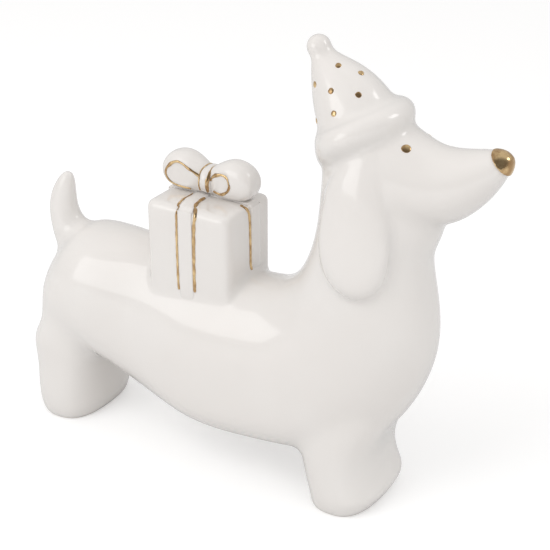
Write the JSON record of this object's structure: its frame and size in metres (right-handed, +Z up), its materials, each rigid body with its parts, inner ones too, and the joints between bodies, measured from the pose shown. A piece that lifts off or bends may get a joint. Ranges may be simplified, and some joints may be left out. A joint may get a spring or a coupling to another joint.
{
  "type": "dog ornament",
  "caption": "Glazed porcelain dachshund figurine in a cone party hat, standing on block legs, with a ribbon-tied gift box on its back and gold lustre nose, eyes, dots and lines.",
  "frame": {"origin": "centre of the bounding box on the ground, under the belly between the leg blocks", "axes": "+X along the trunk towards the nose, +Y to the dog's left, +Z up"},
  "size_m": [0.1732, 0.042, 0.1523],
  "materials": {
    "glazed_porcelain": "glossy clear glaze over warm white porcelain",
    "gold_lustre": "fired gold lustre, mirror bright, brushed on by hand"
  },
  "bodies": {
    "root": {"body": "glazed_porcelain", "tail": "glazed_porcelain", "ear_left": "glazed_porcelain", "ear_right": "glazed_porcelain", "hat_brim": "glazed_porcelain", "hat_cone": "glazed_porcelain", "hat_bobble": "glazed_porcelain", "gift_box": "glazed_porcelain", "ribbon_along": "glazed_porcelain", "ribbon_across": "glazed_porcelain", "bow_loop_rear": "glazed_porcelain", "bow_loop_front": "glazed_porcelain", "bow_knot": "glazed_porcelain", "nose_gold": "gold_lustre", "eye_gold_left": "gold_lustre", "eye_gold_right": "gold_lustre", "hat_dots": "gold_lustre", "ribbon_lines": "gold_lustre", "bow_lines": "gold_lustre", "knot_lines": "gold_lustre"}
  },
  "joints": []
}
